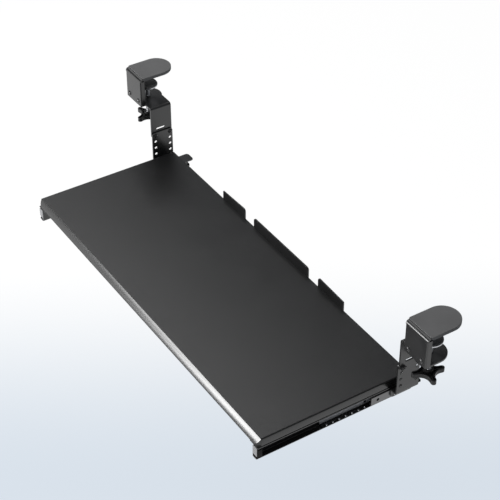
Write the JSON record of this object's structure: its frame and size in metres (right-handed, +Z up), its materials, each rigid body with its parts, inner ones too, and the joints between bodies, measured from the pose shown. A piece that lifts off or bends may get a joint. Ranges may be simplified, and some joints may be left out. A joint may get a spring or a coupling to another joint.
{
  "type": "clamp-on keyboard tray",
  "caption": "Sliding keyboard tray that hangs under a desk's front edge from screw clamps with star knobs, on height-adjustable brackets and ball-bearing slides.",
  "frame": {"origin": "the desk's top front edge, midway between the clamps", "axes": "+X is the tray's width, to the right as the user sits; -Y faces the user; +Z is up. The tray is stored fully pulled out"},
  "size_m": [0.855, 0.297, 0.185],
  "materials": {
    "board_laminate": "fine-grained black laminate over fibreboard",
    "coated_steel": "satin black powder coat",
    "pad_rubber": "matte",
    "dark_fastener": "black oxide",
    "zinc_fastener": "bright zinc",
    "zinc_rail": "dull zinc, lightly greased",
    "polished_steel": "polished",
    "bumper_plastic": "satin",
    "knob_plastic": "satin"
  },
  "bodies": {
    "desk_frame": {"left_clamp_plate": "coated_steel", "left_jaw_sleeve": "pad_rubber", "left_jaw_bracket": "coated_steel", "left_jaw_screws": "dark_fastener", "left_clamp_nut": "zinc_fastener", "left_lower_bracket": "coated_steel", "left_height_bolts": "dark_fastener", "left_height_nuts": "dark_fastener", "left_fixed_rail": "zinc_rail", "left_rail_screws": "zinc_fastener", "right_clamp_plate": "coated_steel", "right_jaw_sleeve": "pad_rubber", "right_jaw_bracket": "coated_steel", "right_jaw_screws": "dark_fastener", "right_clamp_nut": "zinc_fastener", "right_lower_bracket": "coated_steel", "right_height_bolts": "dark_fastener", "right_height_nuts": "dark_fastener", "right_fixed_rail": "zinc_rail", "right_rail_screws": "zinc_fastener"},
    "tray": {"tray_board": "board_laminate", "rear_stop": "coated_steel", "rear_stop_screws": "zinc_fastener", "left_drawer_channel": "coated_steel", "left_mounting_strip": "coated_steel", "left_strip_screws": "zinc_fastener", "left_bumpers": "bumper_plastic", "right_drawer_channel": "coated_steel", "right_mounting_strip": "coated_steel", "right_strip_screws": "zinc_fastener", "right_bumpers": "bumper_plastic"},
    "left_cage": {"left_ball_cage": "zinc_rail", "left_balls": "polished_steel"},
    "left_foot": {"left_pressure_plate": "zinc_fastener", "left_grip_pad": "pad_rubber"},
    "left_spindle": {"left_clamp_screw": "zinc_fastener", "left_knob": "knob_plastic"},
    "right_cage": {"right_ball_cage": "zinc_rail", "right_balls": "polished_steel"},
    "right_foot": {"right_pressure_plate": "zinc_fastener", "right_grip_pad": "pad_rubber"},
    "right_spindle": {"right_clamp_screw": "zinc_fastener", "right_knob": "knob_plastic"}
  },
  "joints": [
    {"name": "tray_slide", "type": "slide", "parent": "desk_frame", "child": "tray", "axis": [0, 1, 0], "range_m": [0, 0.19]},
    {"name": "left_cage_roll", "type": "slide", "parent": "desk_frame", "child": "left_cage", "axis": [0, 1, 0], "range_m": [0, 0.095]},
    {"name": "left_foot_lift", "type": "slide", "parent": "desk_frame", "child": "left_foot", "axis": [0, 0, 1], "range_m": [-0.016, 0.014]},
    {"name": "left_spindle_turn", "type": "hinge", "parent": "left_foot", "child": "left_spindle", "pos_m": [-0.401, 0.019, -0.06], "axis": [0, 0, 1], "range_deg": [-4612, 4036]},
    {"name": "right_cage_roll", "type": "slide", "parent": "desk_frame", "child": "right_cage", "axis": [0, 1, 0], "range_m": [0, 0.095]},
    {"name": "right_foot_lift", "type": "slide", "parent": "desk_frame", "child": "right_foot", "axis": [0, 0, 1], "range_m": [-0.016, 0.014]},
    {"name": "right_spindle_turn", "type": "hinge", "parent": "right_foot", "child": "right_spindle", "pos_m": [0.401, 0.019, -0.06], "axis": [0, 0, 1], "range_deg": [-4612, 4036]}
  ],
  "couplings": [
    {"joint": "left_cage_roll", "follows": "tray_slide", "ratio": 0.5},
    {"joint": "left_spindle_turn", "follows": "left_foot_lift", "rad_per_m": 5026.5},
    {"joint": "right_cage_roll", "follows": "tray_slide", "ratio": 0.5},
    {"joint": "right_spindle_turn", "follows": "right_foot_lift", "rad_per_m": 5026.5}
  ]
}
